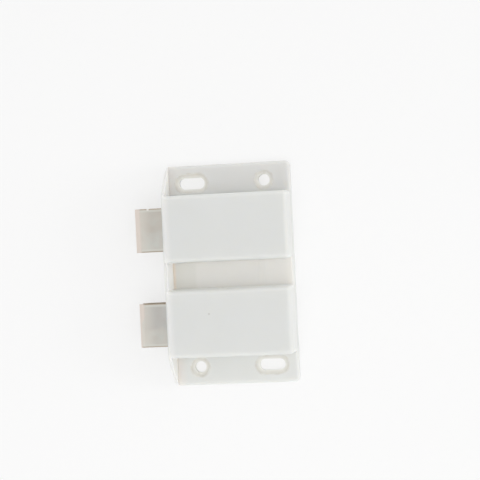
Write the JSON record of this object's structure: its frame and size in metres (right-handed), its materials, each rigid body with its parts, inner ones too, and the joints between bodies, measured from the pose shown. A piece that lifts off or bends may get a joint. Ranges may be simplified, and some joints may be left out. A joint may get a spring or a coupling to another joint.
{
  "type": "double magnetic touch latch",
  "caption": "White plastic push-to-open touch latch for a pair of cabinet doors, with spring plungers, magnetic steel heads, and slotted and round screw holes in end flanges.",
  "frame": {"origin": "middle of the mounting face on the back of the housing", "axes": "+Z away from the surface it is screwed to, +Y along the length through both latches, the plungers come out towards -X"},
  "size_m": [0.0535, 0.077, 0.0155],
  "materials": {
    "white_plastic": "satin moulded, fine spark texture",
    "white_slider_plastic": "moulded acetal",
    "ferrite": "matt, ground",
    "plated_steel": "nickel plated, lightly brushed",
    "rivet_steel": "zinc plated",
    "spring_steel": "drawn wire"
  },
  "bodies": {
    "frame": {"housing": "white_plastic", "upper_back_cover": "white_plastic", "upper_return_spring": "spring_steel", "upper_leaf_spring": "spring_steel", "lower_back_cover": "white_plastic", "lower_return_spring": "spring_steel", "lower_leaf_spring": "spring_steel"},
    "upper_plunger": {"upper_slider": "white_slider_plastic", "upper_magnet": "ferrite", "upper_outer_pole_plate": "plated_steel", "upper_inner_pole_plate": "plated_steel", "upper_head_rivet": "rivet_steel"},
    "upper_pin": {"upper_latch_pin": "spring_steel"},
    "lower_plunger": {"lower_slider": "white_slider_plastic", "lower_magnet": "ferrite", "lower_outer_pole_plate": "plated_steel", "lower_inner_pole_plate": "plated_steel", "lower_head_rivet": "rivet_steel"},
    "lower_pin": {"lower_latch_pin": "spring_steel"}
  },
  "joints": [
    {"name": "upper_plunger_slide", "type": "slide", "parent": "frame", "child": "upper_plunger", "axis": [1, 0, 0], "range_m": [0, 0.0085], "stiffness_N_per_m": 400, "springref_m": -0.006, "deforming": ["upper_return_spring"]},
    {"name": "upper_pin_swing", "type": "hinge", "parent": "frame", "child": "upper_pin", "pos_m": [0.0174, 0.01635, 0.0031], "axis": [0, 0, -1], "range_deg": [-14, 14]},
    {"name": "lower_plunger_slide", "type": "slide", "parent": "frame", "child": "lower_plunger", "axis": [1, 0, 0], "range_m": [0, 0.0085], "stiffness_N_per_m": 400, "springref_m": -0.006, "deforming": ["lower_return_spring"]},
    {"name": "lower_pin_swing", "type": "hinge", "parent": "frame", "child": "lower_pin", "pos_m": [0.0174, -0.01635, 0.0031], "axis": [0, 0, -1], "range_deg": [-14, 14]}
  ],
  "couplings": [
    {"joint": "upper_pin_swing", "follows": "upper_plunger_slide", "rad_per_m": 27.131},
    {"joint": "lower_pin_swing", "follows": "lower_plunger_slide", "rad_per_m": 27.131}
  ]
}
